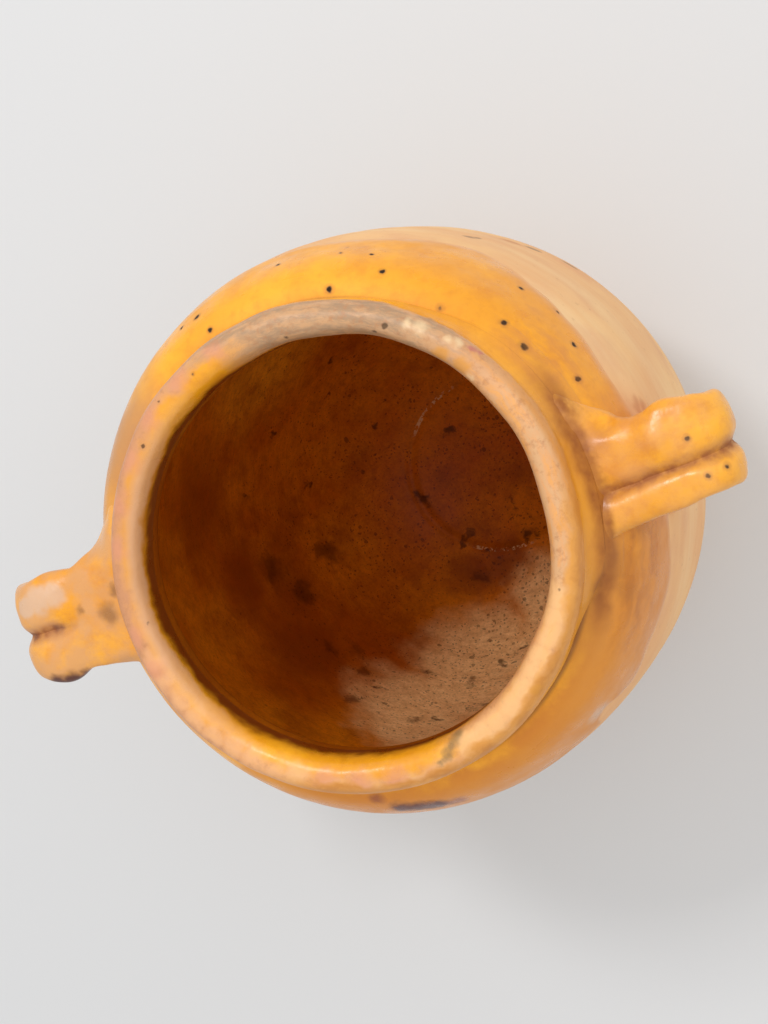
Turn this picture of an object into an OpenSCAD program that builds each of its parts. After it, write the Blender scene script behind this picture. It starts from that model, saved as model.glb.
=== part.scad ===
// Confit pot: a thrown earthenware storage pot with a rolled lip and two pulled strap ears.
// Millimetres, +Z up. The origin is the centre of the foot's underside, and the ears lie along X.

/* [Pot] */
// Height from the foot to the top of the lip
pot_h = 190; // [175:1:220]
// Radius of the flat foot
foot_r = 52; // [44:1:62]
// Rounding of the foot's lower edge
foot_round = 2.5; // [1:0.5:5]
// Radius of the belly at its widest
belly_r = 83.5; // [78:0.5:95]
// Height of the belly's widest point
belly_z = 100; // [80:1:108]
// Roundness of the shoulder, where a higher number is squarer
shoulder_power = 2.7; // [2.2:0.1:3.2]
// Fullness of the lower body, where a higher number is fuller
taper_power = 2; // [1.7:0.1:2.6]
// Thickness of the thrown wall
wall = 6.5; // [5:0.1:8]
// Thickness of the floor
floor_t = 7.5; // [6:0.5:12]
// Height of the curve that joins the inner floor to the wall
bowl_h = 32; // [24:1:44]
// Radius of the finger ring left on the inner floor
ring_r = 31; // [22:1:38]
// Height of the finger ring
ring_h = 0.9; // [0.4:0.1:1.5]

/* [Mouth] */
// Radius of the throat, the narrowest part of the mouth
throat_r = 55.5; // [50:0.5:57]
// Distance that the rolled lip stands out past the neck under it
lip_proud = 3.5; // [3:0.5:7]
// Height of the rolled lip above the neck groove
lip_h = 12; // [10:0.5:16]
// Height of the neck groove between the shoulder and the lip
groove_h = 1.5; // [1:0.5:4]
// Radius of the lip's lower bead
bead_round = 2.4; // [1.5:0.1:3]
// Radius of the lip's crest
crest_round = 4; // [3:0.1:5]
// Radius of the lip's inner edge
edge_round = 2.2; // [1.5:0.1:3]
// Drop of the lip's inner edge below its crest
edge_drop = 5; // [4.5:0.5:7]
// Depth of the shallow cove between the crest and the inner edge
cove_depth = 0.5; // [0.2:0.1:1]

/* [Glaze] */
// Thickness of the glaze coats
glaze_t = 0.4; // [0.3:0.05:0.8]
// Drop of the outer glaze line below the top of the lip
glaze_drop = 40.5; // [34:0.5:60]

/* [Ears] */
// Distance that each ear stands out past the belly
ear_proud = 22; // [18:1:30]
// Width of the left ear's strap
left_ear_w = 30; // [22:1:34]
// Width of the right ear's strap, which was pulled thinner
right_ear_w = 25; // [22:1:34]
// Thickness of the strap
ear_t = 9; // [7:0.5:11]
// Drop of the strap's top below the top of the lip
ear_drop = 10.5; // [9:0.5:14]
// Height of the ear from the strap's top to the middle of its lower seat
ear_h = 33; // [30:1:42]
// Radius of the bend along the middle of the strap
ear_bend = 7; // [6:0.5:9]
// Extra width where the strap is smoothed on to the neck
root_spread = 12; // [4:1:16]
// Extra width where the strap is pressed on to the shoulder
seat_spread = 6; // [2:1:10]
// Length over which each end of the strap spreads
spread_len = 17; // [10:1:24]
// Depth of the finger groove along the strap
groove_d = 2.4; // [1:0.1:3]
// Half width of the finger groove
groove_half = 3.2; // [2:0.1:5]

/* [Hidden] */
$fn = 128;

clay = "#dfb184";
glaze = "#eaa23c";
lining = "#8a4c1a";

neck_r = throat_r + wall;
lip_r = neck_r + lip_proud;
neck_z = pot_h - lip_h - groove_h;
lip_under_z = pot_h - lip_h;
edge_z = pot_h - edge_drop;
throat_z = neck_z - wall / 2;
coat_meet_z = (edge_z + throat_z) / 2;
glaze_z = pot_h - glaze_drop;
crest_turn = 110;   // degrees of the crest's arc, from the lip's side over its top
edge_turn = 60;     // degree at which the inner edge's arc starts
bowl_power = 2.5;   // squareness of the curve between floor and wall
ring_half = 1.3;    // half width of the finger ring

// Points along an arc from angle a to angle b
function arc(centre, r, a, b, steps) =
    [for (i = [0:steps]) let (t = a + (b - a) * i / steps) centre + r * [cos(t), sin(t)]];

// Outer radius of the lower body, from the foot to the belly
function lower_r(z) =
    foot_r + (belly_r - foot_r) * (1 - pow((belly_z - z) / (belly_z - foot_round), taper_power));

// Outer radius of the shoulder, from the belly to the neck
function shoulder_r(z) =
    neck_r + (belly_r - neck_r)
    * pow(1 - pow((z - belly_z) / (neck_z - belly_z), shoulder_power), 1 / shoulder_power);

// A point of the shoulder curve at angle a, between the belly and a narrower ring above it
function shoulder_point(a, wide, narrow, top) = [
    narrow + (wide - narrow) * pow(cos(a), 2 / shoulder_power),
    belly_z + (top - belly_z) * pow(sin(a), 2 / shoulder_power)
];

// A point of the inner bottom at angle a, from the floor's middle at 0 to the wall at 90
function bowl_point(a) =
    let (z = floor_t + bowl_h * (1 - pow(cos(a), 2 / bowl_power)),
         r = (lower_r(z) - wall) * pow(sin(a), 2 / bowl_power))
    [r, z + ring_h * exp(-pow((r - ring_r) / ring_half, 2))];

foot_path = concat([[0, 0]], arc([foot_r - foot_round, foot_round], foot_round, -90, 0, 6));

belly_steps = 16;
belly_path = [for (i = [1:belly_steps])
    let (z = foot_round + (belly_z - foot_round) * i / belly_steps) [lower_r(z), z]];

shoulder_steps = 24;
shoulder_path = [for (i = [1:shoulder_steps])
    shoulder_point(90 * i / shoulder_steps, belly_r, neck_r, neck_z)];

crest_arc = arc([lip_r - crest_round, pot_h - crest_round], crest_round, 0, crest_turn, 12);
edge_arc = arc([throat_r + edge_round, edge_z], edge_round, edge_turn, 180, 8);
cove_from = crest_arc[len(crest_arc) - 1];
cove_steps = 6;
cove_path = [for (i = [1:cove_steps - 1])
    let (t = i / cove_steps)
    cove_from + (edge_arc[0] - cove_from) * t - [0, cove_depth * 4 * t * (1 - t)]];

lip_path = concat(
    [[neck_r, lip_under_z]],
    arc([lip_r - bead_round, lip_under_z + bead_round], bead_round, -90, 0, 6),
    crest_arc, cove_path, edge_arc);

throat_path = [[throat_r, coat_meet_z], [throat_r, throat_z]];

inner_shoulder_path = [for (i = [shoulder_steps - 1:-1:0])
    shoulder_point(90 * i / shoulder_steps, belly_r - wall, throat_r, throat_z)];

inner_steps = 8;
bowl_top = floor_t + bowl_h;
inner_wall_path = [for (i = [1:inner_steps])
    let (z = belly_z + (bowl_top - belly_z) * i / inner_steps) [lower_r(z) - wall, z]];

bowl_step = 1.5;
bowl_path = [for (a = [90 - bowl_step:-bowl_step:0]) bowl_point(a)];

// The glazed stretches of the section, in the order in which the section is drawn
coat_path = concat(
    [[shoulder_r(glaze_z), glaze_z]],
    [for (p = shoulder_path) if (p[1] > glaze_z + glaze_t) p],
    lip_path, [throat_path[0]]);
lining_path = concat(throat_path, inner_shoulder_path, inner_wall_path, bowl_path);

// The path moved by t towards the open air, which lies on its right
function moved(p, along, t) = p[0] < 0.001 ? p + [0, t] : p + t * [along[1], -along[0]] / norm(along);
function parallel(path, t) = [for (i = [0:len(path) - 1])
    moved(path[i], path[min(i + 1, len(path) - 1)] - path[max(i - 1, 0)], t)];
function backwards(path) = [for (i = [len(path) - 1:-1:0]) path[i]];

module coat(path) {
    rotate_extrude() polygon(concat(parallel(path, glaze_t), backwards(path)));
}

// The upper body as one filled solid, from which the ears are cut to their seats
module filled_body() {
    rotate_extrude() polygon(concat(
        [[0, belly_z], [belly_r, belly_z]], shoulder_path, lip_path, [[0, edge_z]]));
}

// The middle line of the strap in the XZ plane, from inside the neck to inside the shoulder
ear_tip_x = belly_r + ear_proud - ear_t / 2;
ear_top_z = pot_h - ear_drop - ear_t / 2;
ear_bend_z = ear_top_z - ear_bend;
ear_low_z = pot_h - ear_drop - ear_h;
ear_seat_x = shoulder_r(ear_low_z);
ear_sunk = max(left_ear_w, right_ear_w) / 2;   // length of strap drawn inside the wall, then cut away
ear_root_x = neck_r - ear_sunk;
ear_root_dip = 2.5;   // drop of the strap at the neck, below its level at the bend
leg_steps = 9;
bend_steps = 6;
drop_steps = 10;
seat_steps = 4;
ear_bend_x = ear_tip_x - ear_bend;
function leg_z(x) = ear_top_z - ear_root_dip * pow((ear_bend_x - x) / (ear_bend_x - ear_root_x), 2);
ear_leg = [for (i = [0:leg_steps]) let (x = ear_root_x + (ear_bend_x - ear_root_x) * i / leg_steps)
    [x, leg_z(x)]];
ear_turn = [for (i = [1:bend_steps]) let (a = 90 - 90 * i / bend_steps)
    [ear_bend_x + ear_bend * cos(a), ear_bend_z + ear_bend * sin(a)]];
ear_fall = [for (i = [1:drop_steps]) let (a = 90 * i / drop_steps)
    [ear_seat_x + (ear_tip_x - ear_seat_x) * cos(a), ear_bend_z - (ear_bend_z - ear_low_z) * sin(a)]];
ear_end = [for (i = [1:seat_steps]) [ear_seat_x - ear_sunk * i / seat_steps, ear_low_z]];
ear_line = concat(ear_leg, ear_turn, ear_fall, ear_end);
ear_fall_low = concat([for (p = ear_fall) if (p[0] < ear_seat_x + spread_len / 2) p], ear_end);

// How much of an end's spread is left at the distance d from that end
function spread(d) = pow(max(0, 1 - max(0, d) / spread_len), 2);
function ear_width(p, w) = p[1] > ear_bend_z
    ? w + root_spread * spread(p[0] - neck_r)
    : w + seat_spread * spread(p[0] - ear_seat_x);

// One ring of the strap: a rounded bar with the finger groove along its outer face
ring_sides = 36;
function strap_ring(p, along, w) =
    let (side = along / norm(along), out = [-side[1], side[0]])
    [for (j = [0:ring_sides - 1])
        let (a = 360 * j / ring_sides,
             y = w / 2 * sign(cos(a)) * pow(abs(cos(a)), 0.7),
             flat = ear_t / 2 * sign(sin(a)) * pow(abs(sin(a)), 0.8),
             cut = sin(a) > 0 ? groove_d * exp(-pow(abs(y) / groove_half, 1.5)) : 0,
             q = p + out * (flat - cut))
        [q[0], y, q[1]]];

module strap(w) {
    last = len(ear_line) - 1;
    rings = [for (i = [0:last])
        strap_ring(ear_line[i], ear_line[min(i + 1, last)] - ear_line[max(i - 1, 0)],
                   ear_width(ear_line[i], w))];
    sides = [for (i = [0:last - 1], j = [0:ring_sides - 1])
        let (a = i * ring_sides + j, b = i * ring_sides + (j + 1) % ring_sides)
        each [[a, b, b + ring_sides], [a, b + ring_sides, a + ring_sides]]];
    start = [for (j = [ring_sides - 1:-1:0]) j];
    end = [for (j = [0:ring_sides - 1]) last * ring_sides + j];
    polyhedron([for (ring = rings) each ring], concat(sides, [start, end]));
}

module ear(w) {
    difference() {
        strap(w);
        filled_body();
    }
}

module pot_body() {
    color(clay)
        rotate_extrude() polygon(concat(foot_path, belly_path, shoulder_path, lip_path, lining_path));
}

// The openings in the outer coat where the ears stand on the clay, as wide as the strap is there
module seat_window(line, w, low, high) {
    plan = [for (p = line) [p[0], ear_width(p, w) / 2]];
    translate([0, 0, low])
        linear_extrude(high - low)
            polygon(concat(plan, [for (p = backwards(plan)) [p[0], -p[1]]]));
}

module ear_windows(w) {
    seat_window(ear_leg, w, leg_z(neck_r) - ear_t / 2, leg_z(lip_r) + ear_t / 2);
    seat_window(ear_fall_low, w, ear_low_z - ear_t / 2, ear_low_z + ear_t / 2);
}

module outer_glaze() {
    color(glaze)
        difference() {
            coat(coat_path);
            ear_windows(right_ear_w);
            rotate([0, 0, 180]) ear_windows(left_ear_w);
        }
}

module inner_glaze() {
    color(lining) coat(lining_path);
}

module left_ear() {
    color(glaze) rotate([0, 0, 180]) ear(left_ear_w);
}

module right_ear() {
    color(glaze) ear(right_ear_w);
}

pot_body();
outer_glaze();
inner_glaze();
left_ear();
right_ear();
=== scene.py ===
import math

import bmesh
import bpy
from mathutils import Matrix, Vector, noise


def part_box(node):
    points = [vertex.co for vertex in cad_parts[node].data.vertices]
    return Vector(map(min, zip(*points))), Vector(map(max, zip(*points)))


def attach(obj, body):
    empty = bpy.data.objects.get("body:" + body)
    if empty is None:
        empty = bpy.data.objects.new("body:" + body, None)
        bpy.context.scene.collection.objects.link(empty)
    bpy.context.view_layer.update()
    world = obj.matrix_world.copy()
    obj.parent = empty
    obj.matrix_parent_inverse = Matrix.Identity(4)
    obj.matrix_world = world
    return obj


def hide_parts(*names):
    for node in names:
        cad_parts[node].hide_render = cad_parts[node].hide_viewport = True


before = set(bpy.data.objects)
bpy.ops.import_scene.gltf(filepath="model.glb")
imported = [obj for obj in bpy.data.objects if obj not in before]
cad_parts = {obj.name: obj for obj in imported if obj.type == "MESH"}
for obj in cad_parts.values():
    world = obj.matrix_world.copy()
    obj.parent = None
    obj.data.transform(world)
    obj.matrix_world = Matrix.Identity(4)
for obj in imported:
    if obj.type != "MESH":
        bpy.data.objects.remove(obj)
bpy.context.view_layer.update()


# Thrown body
# The pot itself: one lump of earthenware thrown on the wheel, with a rolled lip and a flat foot.
# It is biscuit-fired clay, bare and matt below the glaze line and hidden under the glaze above it.

MM = 0.001
pot_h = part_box("pot_body")[1].z / MM
belly_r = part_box("pot_body")[1].y / MM
foot_r = 52
foot_round = 2.5
belly_z = 100
wall = 6.5
floor_t = 7.5
throat_r = 55.5
neck_r = throat_r + wall
lip_r = neck_r + 3.5
neck_z = pot_h - 13.5
lip_under_z = pot_h - 12
edge_z = pot_h - 5
crown_z = pot_h - 5.5      # where the lip's sides turn into its round top
crown_power = 2.3
lip_mid_r = (throat_r + lip_r) / 2
throat_z = neck_z - wall / 2
shoulder_power = 2.7
bowl_h = 32
bowl_power = 2.5
ring_r = 31          # the ring that the thrower's fingers left on the inner floor
ring_h = 0.7
ring_half = 1.4
turn_steps = 240     # steps round the pot in every turned mesh


def lower_r(z):
    """Outer radius of the lower body, from the foot to the belly."""
    return foot_r + (belly_r - foot_r) * (1 - ((belly_z - z) / (belly_z - foot_round)) ** 2)


def shoulder_point(angle, wide, narrow, top):
    """A point of the shoulder, from the belly at angle 0 to a narrower ring at 90."""
    a = math.radians(angle)
    power = 2 / shoulder_power
    return (narrow + (wide - narrow) * max(math.cos(a), 0) ** power,
            belly_z + (top - belly_z) * math.sin(a) ** power)


def shoulder_angle(z):
    """The angle at which the shoulder reaches the height z."""
    share = (z - belly_z) / (neck_z - belly_z)
    return math.degrees(math.asin(share ** (shoulder_power / 2)))


def shoulder_r(z):
    return shoulder_point(shoulder_angle(z), belly_r, neck_r, neck_z)[0]


def shoulder_z(r):
    """Height of the shoulder at a radius."""
    share = min(max((r - neck_r) / (belly_r - neck_r), 0), 1)
    return belly_z + (neck_z - belly_z) * (1 - share ** shoulder_power) ** (1 / shoulder_power)


def outside_r(z):
    """Outer radius of the clay at any height."""
    if z > neck_z:
        return lip_r if z > lip_under_z + 0.5 else neck_r
    return shoulder_r(z) if z > belly_z else lower_r(z)


def ease(value, start, end):
    """Climbs smoothly from 0 to 1 while a value goes from start to end."""
    t = min(max((value - start) / (end - start), 0), 1)
    return t * t * (3 - 2 * t)


def around(table, azimuth):
    """Reads a table of values, equally spaced round the pot from -180 degrees, between its rows."""
    place = (azimuth + 180) / 360 * len(table)
    low = math.floor(place)
    t = ease(place - low, 0, 1)
    return table[low % len(table)] * (1 - t) + table[(low + 1) % len(table)] * t


def arc(cx, cz, r, start, end, steps):
    angles = [math.radians(start + (end - start) * i / steps) for i in range(steps + 1)]
    return [(cx + r * math.cos(a), cz + r * math.sin(a)) for a in angles]


def lip_section():
    """The rolled lip, from the neck over its round top to the edge of the throat."""
    bead = arc(lip_r - 2.4, lip_under_z + 2.4, 2.4, -90, 0, 6)
    side = [(lip_r, lip_under_z + 2.4 + (crown_z - lip_under_z - 2.4) * i / 4) for i in range(1, 4)]
    crown = []
    for i in range(31):
        c, s = math.cos(math.radians(6 * i)), math.sin(math.radians(6 * i))
        crown.append((lip_mid_r + (lip_r - lip_mid_r) * math.copysign(abs(c) ** (2 / crown_power), c),
                      crown_z + (pot_h - crown_z) * max(s, 0) ** (2 / crown_power)))
    return [(neck_r, lip_under_z)] + bead + side + crown


# The throat's straight wall, and the rounded corner below it where the inside widens
corner = 3
throat = [(throat_r, crown_z + (throat_z + corner - crown_z) * i / 6) for i in range(1, 7)]


def bowl_point(angle):
    """A point of the inner bottom, from the floor's middle at angle 0 to the wall at 90."""
    a = math.radians(angle)
    z = floor_t + bowl_h * (1 - max(math.cos(a), 0) ** (2 / bowl_power))
    r = (lower_r(z) - wall) * math.sin(a) ** (2 / bowl_power)
    return r, z + ring_h * math.exp(-((r - ring_r) / ring_half) ** 2)


def inner_section():
    """The inside of the wall, from the throat down to the middle of the floor."""
    turn = arc(throat_r + corner, throat_z + corner, corner, 180, 270, 8)[1:]
    upper = [shoulder_point(90 - 2.25 * i, belly_r - wall, throat_r, throat_z) for i in range(41)]
    upper = turn + [(r, min(z, throat_z - 0.02 * i)) for i, (r, z) in enumerate(upper)
                    if r > throat_r + corner + 0.4]
    low = floor_t + bowl_h
    side = [(lower_r(z) - wall, z) for z in (belly_z + (low - belly_z) * i / 24 for i in range(1, 25))]
    bowl = [bowl_point(90 - 1.25 * i) for i in range(1, 72)]
    return upper + side + bowl + [(0, floor_t)]


def turned(points, closed=False):
    """Turns a section, given as radius and height in mm, once round the pot's axis."""
    bm = bmesh.new()
    verts = [bm.verts.new((r * MM, 0, z * MM)) for r, z in points]
    edges = [bm.edges.new(pair) for pair in zip(verts, verts[1:])]
    if closed:
        edges.append(bm.edges.new((verts[-1], verts[0])))
    bmesh.ops.spin(bm, geom=verts + edges, cent=(0, 0, 0), axis=(0, 0, 1),
                   angle=2 * math.pi, steps=turn_steps, use_merge=True)
    bmesh.ops.remove_doubles(bm, verts=bm.verts, dist=0.001 * MM)
    bmesh.ops.recalc_face_normals(bm, faces=bm.faces)
    return bm


# How far the lip's inner and outer edges stand out of true, in mm, every 20 degrees from -180
lip_inner_play = [0.3, 0.2, 0, -0.1, -0.3, -0.3, 0, 0.2, 1, 1, 1.8, 2.2, 1.9, 0.6, -0.5, -1, -0.6, -0.2]
lip_outer_play = [-1.6, -1.2, -0.8, -0.8, -1.1, -1.3, -1.3, -1.4, -1.4, -1, -0.5, -0.5, -0.3, -0.8,
                  -1.6, -2.1, -2.2, -2]
# How far the belly falls short of a true circle, in mm, every 30 degrees from -180
belly_play = [1.5, 0.6, 0.2, 0.2, 0.3, 0.1, 0, 0.2, 0.4, 0.2, 0.6, 1.6]


collar_foot_r = 73      # where the clay that fills the neck by the right ear runs out
collar_foot_z = shoulder_z(collar_foot_r) - 0.6


def collar_point(t):
    """A point of the filled neck's outside, from the shoulder at 0 to the lip's side at 1."""
    a, b, c = (1 - t) ** 2, 2 * t * (1 - t), t * t
    return (a * collar_foot_r + b * 68.6 + c * lip_r,
            a * shoulder_z(collar_foot_r) + b * 177.6 + c * crown_z)


def by_hand(bm):
    """Leaves the turned shape a little out of true, as a thrower's hands do."""
    proud = bm.verts.layers.float.get("proud")
    for v in bm.verts:
        x, y, z = v.co / MM
        r = math.hypot(x, y)
        if r < 1:
            continue
        a = math.atan2(y, x)
        azimuth = math.degrees(a)
        outside = r > outside_r(z) - wall / 2
        new_r = r - around(belly_play, azimuth) * ease(z, 10, 80) * (1 - ease(z, 160, 176)) * r / belly_r
        on_wall = ease(z, 14, 34) * (1 - ease(z, neck_z - 18, neck_z - 4))
        if outside:
            new_r += 0.08 * (math.sin(z / 1.9 + a) - 1) * on_wall
        else:
            new_r += 0.07 * (math.sin(z / 2.6 - a) + 1) * on_wall
        over = ease(z, 180, 186)
        across = min(max((r - throat_r) / (lip_r - throat_r), 0), 1) * over + outside * (1 - over)
        play = around(lip_inner_play, azimuth) * (1 - across) + around(lip_outer_play, azimuth) * across
        new_r += play * (ease(z, 176, 180) if outside else ease(z, 162, 180))
        if outside and collar_foot_z < z < crown_z and r < collar_foot_r + 0.6:
            filled = ease(azimuth, -36, -16) * (1 - ease(azimuth, 30, 76))
            on_shoulder = z < neck_z + 0.6
            t = ((collar_foot_r + 0.6 - r) / (collar_foot_r + 0.6 - neck_r) if on_shoulder
                 else 1 + (z - neck_z) / (crown_z - neck_z)) / 2
            collar_x, collar_z = collar_point(t)
            lift = v[proud] if proud else 0
            filled *= ease(t, 0, 0.12)
            new_r += filled * (collar_x + play * ease(t, 0.5, 1) + 0.86 * lift - new_r)
            z += filled * (collar_z + 0.51 * lift - z)
        on_lip = ease(z, neck_z, neck_z + 5)
        here = Vector((x, y, z))
        new_r += 0.35 * on_lip * noise.noise(here / 15)
        sag = on_lip * (0.3 + 0.3 * math.sin(3 * a + 0.5) + 0.25 * (1 + noise.noise(here / 11)))
        v.co = Vector((x * new_r / r, y * new_r / r, z - sag)) * MM


def made(name, bm):
    """Makes a finished piece of the object out of a bmesh, smooth but for its sharp corners."""
    for edge in bm.edges:
        edge.smooth = edge.calc_face_angle(0) < 0.8
    for face in bm.faces:
        face.smooth = True
    mesh = bpy.data.meshes.new(name)
    bm.to_mesh(mesh)
    bm.free()
    piece = bpy.data.objects.new(name, mesh)
    bpy.context.scene.collection.objects.link(piece)
    return piece


def colour(hex_code):
    """An sRGB hex colour as linear RGBA."""
    parts = [int(hex_code[i:i + 2], 16) / 255 for i in (1, 3, 5)]
    return [p / 12.92 if p <= 0.04045 else ((p + 0.055) / 1.055) ** 2.4 for p in parts] + [1]


def add(tree, kind, inputs, out=0, **settings):
    """Adds a node, with its settings, and its inputs as values or links, and returns one output."""
    node = tree.nodes.new(kind)
    for key, value in settings.items():
        setattr(node, key, value)
    for key, value in inputs.items():
        if isinstance(value, bpy.types.NodeSocket):
            tree.links.new(value, node.inputs[key])
        else:
            node.inputs[key].default_value = value
    return node.outputs[out]


def material(name):
    """An empty material with its node tree, its object coordinates and its surface output."""
    made_of = bpy.data.materials.new(name)
    made_of.use_nodes = True
    tree = made_of.node_tree
    tree.nodes.clear()
    end = tree.nodes.new("ShaderNodeOutputMaterial")
    return made_of, tree, add(tree, "ShaderNodeTexCoord", {}, out="Object"), end


def grain(size_mm):
    """The scale of a noise whose grains are about that many millimetres across."""
    return 1 / (size_mm * MM)


def layered(tree, surface, layers):
    """Lays tints over a colour, each through its own mask."""
    for mask, tint in layers:
        surface = add(tree, "ShaderNodeMix", {0: mask, 6: surface, 7: colour(tint)},
                      out=2, data_type="RGBA")
    return surface


def shaken(tree, place, size_mm, reach_mm):
    """Coordinates pushed about by a noise, so that what they draw has a ragged outline."""
    push = add(tree, "ShaderNodeTexNoise", {"Vector": place, "Scale": grain(size_mm), "Detail": 3},
               out="Color")
    centred = add(tree, "ShaderNodeVectorMath", {0: push, 1: (0.5, 0.5, 0.5)}, operation="SUBTRACT")
    return add(tree, "ShaderNodeVectorMath", {0: centred, 1: [reach_mm * MM] * 3, 2: place},
               operation="MULTIPLY_ADD")


def nearness(tree, place, spots):
    """The distance to the nearest of some spots, each measured in its own radius."""
    least = None
    for centre, radius in spots:
        gap = add(tree, "ShaderNodeVectorMath", {0: place, 1: centre}, out="Value", operation="DISTANCE")
        share = add(tree, "ShaderNodeMath", {0: gap, 1: radius * MM}, operation="DIVIDE")
        least = share if least is None else add(
            tree, "ShaderNodeMath", {0: least, 1: share}, operation="MINIMUM")
    return least


def marked(tree, place, surface, marks):
    """Lays listed marks over a colour: a tint, a strength, a softness and the spots of each."""
    for tint, strength, soft, spots in marks:
        mask = add(tree, "ShaderNodeMapRange", {"Value": nearness(tree, place, spots),
                                                "From Min": 1 + soft, "From Max": 1 - soft,
                                                "To Max": strength}, interpolation_type="SMOOTHSTEP")
        surface = layered(tree, surface, [(mask, tint)])
    return surface


def at(azimuth, r, z):
    """A point at an azimuth in degrees, and a radius and a height in mm."""
    a = math.radians(azimuth)
    return Vector((r * math.cos(a), r * math.sin(a), z)) * MM


def biscuit_clay():
    # Bare earthenware, turned on the wheel and biscuit-fired: dry, open and without a shine.
    # The eye sees a pinkish buff, pale slip dragged round it, and rusty and smoky patches.
    clay, tree, place, end = material("biscuit_clay")
    drawn = add(tree, "ShaderNodeMapping", {"Vector": place, "Scale": (0.14, 0.14, 1)})
    clouds = add(tree, "ShaderNodeTexNoise", {"Vector": place, "Scale": grain(38), "Detail": 4})
    cloudy = add(tree, "ShaderNodeMapRange", {"Value": clouds, "From Min": 0.4, "From Max": 0.62})
    bands = add(tree, "ShaderNodeTexNoise", {"Vector": drawn, "Scale": grain(14), "Detail": 4,
                                             "Roughness": 0.55})
    pale = add(tree, "ShaderNodeMapRange", {"Value": bands, "From Min": 0.42, "From Max": 0.7,
                                            "To Max": 0.5})
    smoke = add(tree, "ShaderNodeTexNoise", {"Vector": place, "Scale": grain(16), "Detail": 5, "W": 3.0},
                noise_dimensions="4D")
    smoky = add(tree, "ShaderNodeMapRange", {"Value": smoke, "From Min": 0.5, "From Max": 0.75,
                                             "To Max": 0.5})
    specks = add(tree, "ShaderNodeTexNoise", {"Vector": place, "Scale": grain(2.2), "Detail": 3})
    speck = add(tree, "ShaderNodeMapRange", {"Value": specks, "From Min": 0.66, "From Max": 0.76,
                                             "To Max": 0.4})
    surface = add(tree, "ShaderNodeMix", {0: cloudy, 6: colour("#eab078"), 7: colour("#f2c084")},
                  out=2, data_type="RGBA")
    surface = layered(tree, surface, [(pale, "#f5d4a0"), (smoky, "#dc9f74"), (speck, "#bf875c")])
    surface = marked(tree, shaken(tree, place, 5, 4), surface, [
        ("#b8663a", 0.5, 0.7, [(at(54, 80.5, 151), 2.5), (at(53, 83.4, 105), 3), (at(9, 79.8, 150.5), 2.6),
                               (at(8, 80.6, 147), 2.2)]),
        ("#7d5a46", 0.6, 0.5, [(at(58, 83, 126), 1.8), (at(57, 83, 124), 1.4), (at(49, 83.5, 101), 2.4),
                               (at(42, 83, 91), 2.6), (at(-150, 83, 120), 3), (at(-95, 81, 60), 4),
                               (at(130, 82, 70), 3)])])
    grit = add(tree, "ShaderNodeTexNoise", {"Vector": place, "Scale": grain(0.7), "Detail": 2})
    ridges = add(tree, "ShaderNodeTexNoise", {"Vector": drawn, "Scale": grain(1.6), "Detail": 3})
    low = add(tree, "ShaderNodeBump", {"Height": ridges, "Strength": 0.25, "Distance": 0.12 * MM})
    bump = add(tree, "ShaderNodeBump", {"Height": grit, "Strength": 0.25, "Distance": 0.12 * MM,
                                        "Normal": low})
    shader = add(tree, "ShaderNodeBsdfPrincipled",
                 {"Base Color": surface, "Roughness": 0.78, "IOR": 1.5, "Normal": bump})
    tree.links.new(shader, end.inputs["Surface"])
    return clay


foot = [(0, 0)] + arc(foot_r - foot_round, foot_round, foot_round, -90, 0, 6)
belly = [(lower_r(z), z) for z in (foot_round + (belly_z - foot_round) * i / 30 for i in range(1, 31))]
shoulder = [shoulder_point(2.25 * i, belly_r, neck_r, neck_z) for i in range(1, 41)]
bm = turned(foot + belly + shoulder + lip_section() + throat + inner_section())
by_hand(bm)
thrown_body = made("thrown_body", bm)
thrown_body.data.materials.append(biscuit_clay())
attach(thrown_body, "root")
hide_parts("pot_body")


# Outer glaze
# A lead glaze poured over the lip and shoulder, where it ran down to a wandering line.
# It is fired to a yellow-ochre glass 0.4 mm thick, pinholed, and worn back to the clay on the lip.

glaze_t = 0.4
coat_meet_z = (edge_z + throat_z) / 2
# Azimuth in degrees and height in mm of the places where the glaze line turns
glaze_line = [(-180, 149), (-150, 152), (-120, 148), (-95, 151), (-70, 147), (-57, 146), (-55, 154),
              (-52, 157), (-49, 150), (-46, 146), (-37, 149), (-27, 146), (-12, 150), (6, 156),
              (16, 158), (29, 154.5), (38, 151), (46, 147), (53, 145), (61, 147), (69, 152),
              (78, 154), (95, 151), (120, 148), (150, 153), (180, 149)]


def line_z(azimuth):
    """Height of the glaze line at an azimuth, smoothed between its turning places."""
    for (a, za), (b, zb) in zip(glaze_line, glaze_line[1:]):
        if a <= azimuth <= b:
            return za + (zb - za) * ease(azimuth, a, b)
    return glaze_line[0][1]


def outward(points):
    """The unit normals of a section, on the side of the open air."""
    normals = []
    for i in range(len(points)):
        (ax, az), (bx, bz) = points[max(i - 1, 0)], points[min(i + 1, len(points) - 1)]
        length = math.hypot(bx - ax, bz - az)
        normals.append(((bz - az) / length, -(bx - ax) / length))
    return normals


def coat_thickness(down):
    """Thickness of the glaze: even, and thinned out to a film at its lower edge."""
    return glaze_t * (1 - 0.85 * ease(down, 0.9, 1))


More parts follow.
